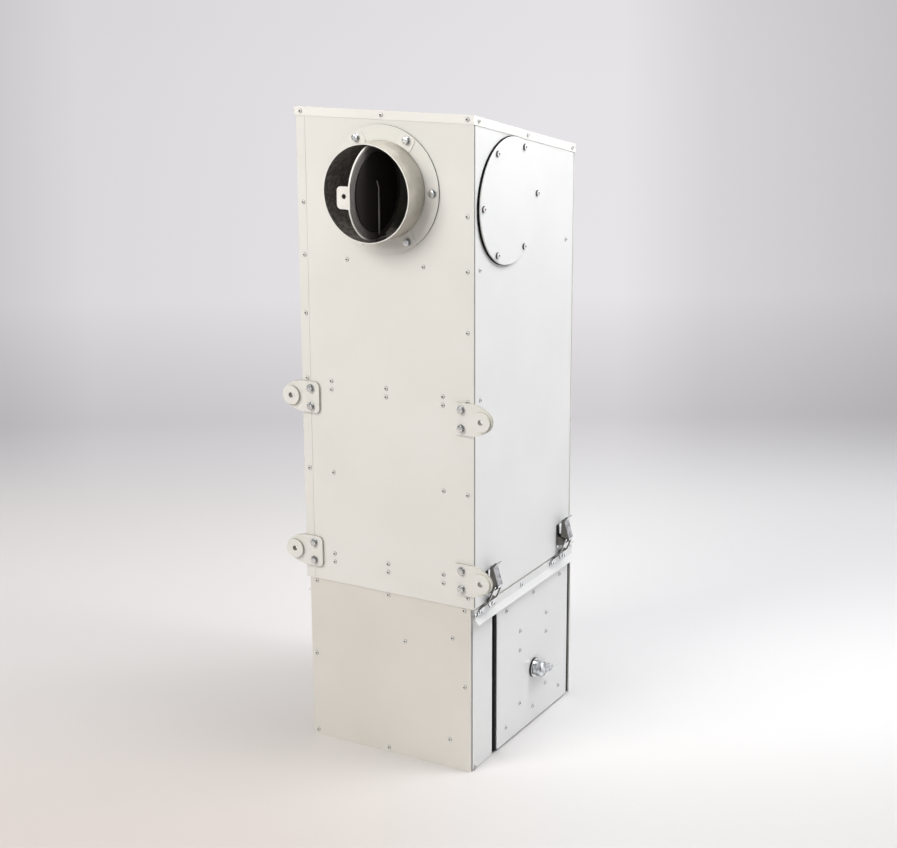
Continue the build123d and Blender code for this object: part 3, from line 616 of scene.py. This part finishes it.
def doorRivetGroups(sizes):
    spots = [(y, z) for y in sizes["rowY"] for z in sizes["rowZ"]]
    spots += [(y, z) for y in sizes["columnY"] for z in sizes["columnZ"]]
    return [("right", [(place["doorX"], place["frontY"] + y, z) for y, z in spots])]


addFixings("doorRivetHeads", rivetMesh, doorRivetGroups(doorRivets), "service_door", "rivet")
print("rivets set")

boltRing = {"count": 6, "circle": 84.5}
lugBolts = {"x": 130.2, "z": (313.2, 561.2), "spread": 28.4}


def boltGroups(ring, lug):
    around = [(x, place["tabY"], place["spigotZ"] + z) for x, z in ringSpots(ring)]
    half = lug["spread"] / 2
    lugs = [(sign * lug["x"], place["lugFaceY"], z + step)
            for sign in (-1, 1) for z in lug["z"] for step in (-half, half)]
    return [("front", around + lugs)]


def portGroups(ring):
    spots = [(place["plateX"], place["portY"] + y, place["portZ"] + z) for y, z in ringSpots(ring)]
    return [("right", spots)]


addFixings("housingBoltHeads", boltMesh, boltGroups(boltRing, lugBolts), "housing", "zinc")
addFixings("portScrewHeads", buttonMesh, portGroups(boltRing), "housing", "rivet")

railScrews = {"y": (13.0, 164.0, 315.0), "z": 253.0, "faceX": 2.0}
strikeScrews = {"y": (46.5, 291.2), "half": 20.0, "z": 254.8, "faceX": 3.5}


def screwGroups(rails, strikes):
    groups = []
    for facing, sign in (("right", 1), ("left", -1)):
        spots = [(sign * (place["lowerX"] + rails["faceX"]), place["frontY"] + y, rails["z"])
                 for y in rails["y"]]
        spots += [(sign * (place["lowerX"] + strikes["faceX"]), place["frontY"] + y + step, strikes["z"])
                  for y in strikes["y"] for step in (-strikes["half"], strikes["half"])]
        groups.append((facing, spots))
    return groups


addFixings("railScrewHeads", screwMesh, screwGroups(railScrews, strikeScrews), "housing", "zinc")
print("bolts and screws set")

# Studio: one wide floor that fades into the backdrop's tone, as the photograph's sweep does
studio = {
    "floorSize": 90.0, "leftFloor": "e5e2e1", "rightFloor": "eeeded",
    "nearShadeLeft": (0.78, 0.74, 0.71, 1), "nearShadeRight": (0.78, 0.78, 0.77, 1),
    "midShade": (1.05, 1.05, 1.05, 1),
    "bandFar": "e0dee1", "bandTone": "cbc9cc", "wallTone": "e1dfe2", "wallTop": "dedcdf",
    "viewTurn": 31.54, "cameraX": -0.1054, "cameraY": -2.7697,
    "acrossSpan": (-0.1, 0.16), "nearSpan": (-0.5, 0.3), "edgeSpan": (-0.21, 0.3),
    "fadeStart": 0.95, "bandStart": 1.1, "bandMiddle": 1.78, "wallStart": 3.3, "wallFar": 20.0,
    "fanNear": 1.5, "glowSpan": (2.2, 4.0),
    "edgeShades": ((0.0, 0.8), (0.1, 0.94), (0.3, 1.0), (0.6, 1.06), (0.68, 1.06),
                   (0.78, 0.9), (1.0, 0.74)),
}


def studioFloor(look):
    material, tree = newMaterial("studioSweep")
    coords = objectCoords(tree)
    turned = addNode(tree, "ShaderNodeMapping", {
        "Vector": coords, "Rotation": (0, 0, math.radians(-look["viewTurn"]))}, vector_type="POINT")
    axes = axesOf(tree, turned.outputs["Vector"])
    # Lines that fan out from below the camera carry the sideways shading of the sweep
    fanX = calculate(tree, "SUBTRACT", axes["X"], look["cameraX"])
    fanY = calculate(tree, "SUBTRACT", axes["Y"], look["cameraY"])
    fan = calculate(tree, "DIVIDE", fanX, calculate(tree, "MAXIMUM", fanY, look["fanNear"]))
    across = remap(tree, fan, look["acrossSpan"], interpolation="SMOOTHSTEP")
    floorTint = hexRamp(tree, across, (0.0, 1.0), (look["leftFloor"], look["rightFloor"]))
    # Towards the camera the paper is drawn darker and warmest on the left: painted shade
    near = remap(tree, axes["Y"], look["nearSpan"], interpolation="SMOOTHSTEP")
    nearShadeTone = mixColours(tree, across, look["nearShadeLeft"], look["nearShadeRight"])
    shaded = multiplied(tree, floorTint, mixColours(tree, near, nearShadeTone, look["midShade"]))

    # Further back the sweep turns up: a darker band first, then the wall
    back = remap(tree, axes["Y"], (look["bandStart"], look["wallFar"]))
    span = look["wallFar"] - look["bandStart"]
    bandAt = (look["bandMiddle"] - look["bandStart"]) / span
    wallAt = (look["wallStart"] - look["bandStart"]) / span
    wallTint = hexRamp(tree, back, (0.0, bandAt, wallAt, 1.0), (
        look["bandFar"], look["bandTone"], look["wallTone"], look["wallTop"]))
    edgeShade = ramp(tree, remap(tree, fan, look["edgeSpan"]), [
        (spot, (shade, shade, shade, 1)) for spot, shade in look["edgeShades"]])
    wallColour = multiplied(tree, wallTint, edgeShade)

    # All round the object the floor far off glows too, so that no view ends in the dark
    fade = remap(tree, axes["Y"], (look["fadeStart"], look["bandMiddle"]), interpolation="SMOOTHSTEP")
    far = remap(tree, lengthOf(tree, coords), look["glowSpan"], interpolation="SMOOTHSTEP")
    glowing = calculate(tree, "MAXIMUM", fade, far)
    seen = addNode(tree, "ShaderNodeLightPath").outputs
    shown = calculate(tree, "MAXIMUM", seen["Is Camera Ray"], seen["Is Glossy Ray"])
    paper = addNode(tree, "ShaderNodeBsdfDiffuse", {"Color": shaded})
    glow = addNode(tree, "ShaderNodeEmission", {"Color": wallColour, "Strength": 1.0})
    finishMaterial(tree, mixShaders(tree, calculate(tree, "MULTIPLY", glowing, shown), paper, glow))
    return material


def addFloor(look):
    bm = bmesh.new()
    bmesh.ops.create_grid(bm, x_segments=1, y_segments=1, size=look["floorSize"] / 2)
    mesh = bpy.data.meshes.new("studioFloor")
    bm.to_mesh(mesh)
    bm.free()
    mesh.materials.append(studioFloor(look))
    floor = bpy.data.objects.new("studioFloor", mesh)
    bpy.context.collection.objects.link(floor)


# Air: an even light, a plain backdrop for the camera, and for reflections a room that is dark on
# the left, which gives the bright metal its dark edges
air = {
    "light": "d9dade", "strength": 0.37, "backdrop": "dedcdf", "roomStrength": 0.9,
    "roomAt": (0.15, 0.4, 0.75), "roomTones": ("2b2a2a", "b9b9bb", "f4f4f6"),
}


def addWorld(look):
    world = bpy.data.worlds.new("studioAir")
    bpy.context.scene.world = world
    world.use_nodes = True
    tree = world.node_tree
    tree.nodes.clear()
    direction = addNode(tree, "ShaderNodeTexCoord").outputs["Generated"]
    room = remap(tree, axesOf(tree, direction)["X"], (-1.0, 1.0))
    roomTone = hexRamp(tree, room, look["roomAt"], look["roomTones"])
    light = addNode(tree, "ShaderNodeBackground", {
        "Color": toLinear(look["light"]), "Strength": look["strength"]})
    reflected = addNode(tree, "ShaderNodeBackground", {
        "Color": roomTone, "Strength": look["roomStrength"]})
    backdrop = addNode(tree, "ShaderNodeBackground", {
        "Color": toLinear(look["backdrop"]), "Strength": 1.0})
    seen = addNode(tree, "ShaderNodeLightPath").outputs
    glossy = mixShaders(tree, seen["Is Glossy Ray"], light, reflected)
    mixed = mixShaders(tree, seen["Is Camera Ray"], glossy, backdrop)
    addNode(tree, "ShaderNodeOutputWorld", {"Surface": mixed.outputs[0]})


# Softboxes: where each stands, what it points at, its size in metres and its power in watts
softboxes = {
    "keySoftbox": {
        "at": (1.6, 0.8, 2.3), "aim": (0.0, 0.0, 0.6), "size": (1.4, 1.4),
        "power": 24.0, "colour": "fbfcff"},
    "cornerSoftbox": {
        "at": (0.8, 0.1, 1.55), "aim": (0.15, -0.05, 0.95), "size": (0.6, 0.5),
        "power": 6.0, "colour": "ffffff"},
    "lowSoftbox": {
        "at": (1.9, 0.3, 0.5), "aim": (0.15, 0.0, 0.2), "size": (0.8, 0.6),
        "power": 2.2, "colour": "fbfcff"},
    "frontSoftbox": {
        "at": (-0.8, -2.3, 2.1), "aim": (0.0, 0.0, 0.7), "size": (1.6, 1.6),
        "power": 56.0, "colour": "fffcf7"},
    "topSoftbox": {
        "at": (0.2, 0.2, 3.0), "aim": (0.0, 0.0, 0.0), "size": (2.4, 2.4),
        "power": 29.5, "colour": "ffffff"},
}


def addSoftbox(name, box):
    lamp = bpy.data.lights.new(name, "AREA")
    lamp.shape = "RECTANGLE"
    lamp.size, lamp.size_y = box["size"]
    lamp.energy = box["power"]
    lamp.color = toLinear(box["colour"])[:3]
    stand = bpy.data.objects.new(name, lamp)
    bpy.context.collection.objects.link(stand)
    stand.location = box["at"]
    aim = Vector(box["aim"]) - Vector(box["at"])
    stand.rotation_euler = aim.to_track_quat("-Z", "Y").to_euler()


# Camera: placed and turned as the photograph was taken
photoCamera = {"at": (1.35894, -2.41569, 1.27893), "turn": (75.0102, 0.8529, 31.5362),
               "lens": 73.315, "sensor": 36.0, "shift": (0.08863, -0.0301)}


def addCamera(look):
    data = bpy.data.cameras.new("photoCamera")
    data.lens = look["lens"]
    data.sensor_width = look["sensor"]
    data.shift_x, data.shift_y = look["shift"]
    camera = bpy.data.objects.new("photoCamera", data)
    bpy.context.collection.objects.link(camera)
    camera.location = look["at"]
    camera.rotation_euler = [math.radians(angle) for angle in look["turn"]]
    bpy.context.scene.camera = camera


addFloor(studio)
addWorld(air)
for boxName, box in softboxes.items():
    addSoftbox(boxName, box)
addCamera(photoCamera)
bpy.context.scene.view_settings.view_transform = "Standard"
print("studio set")
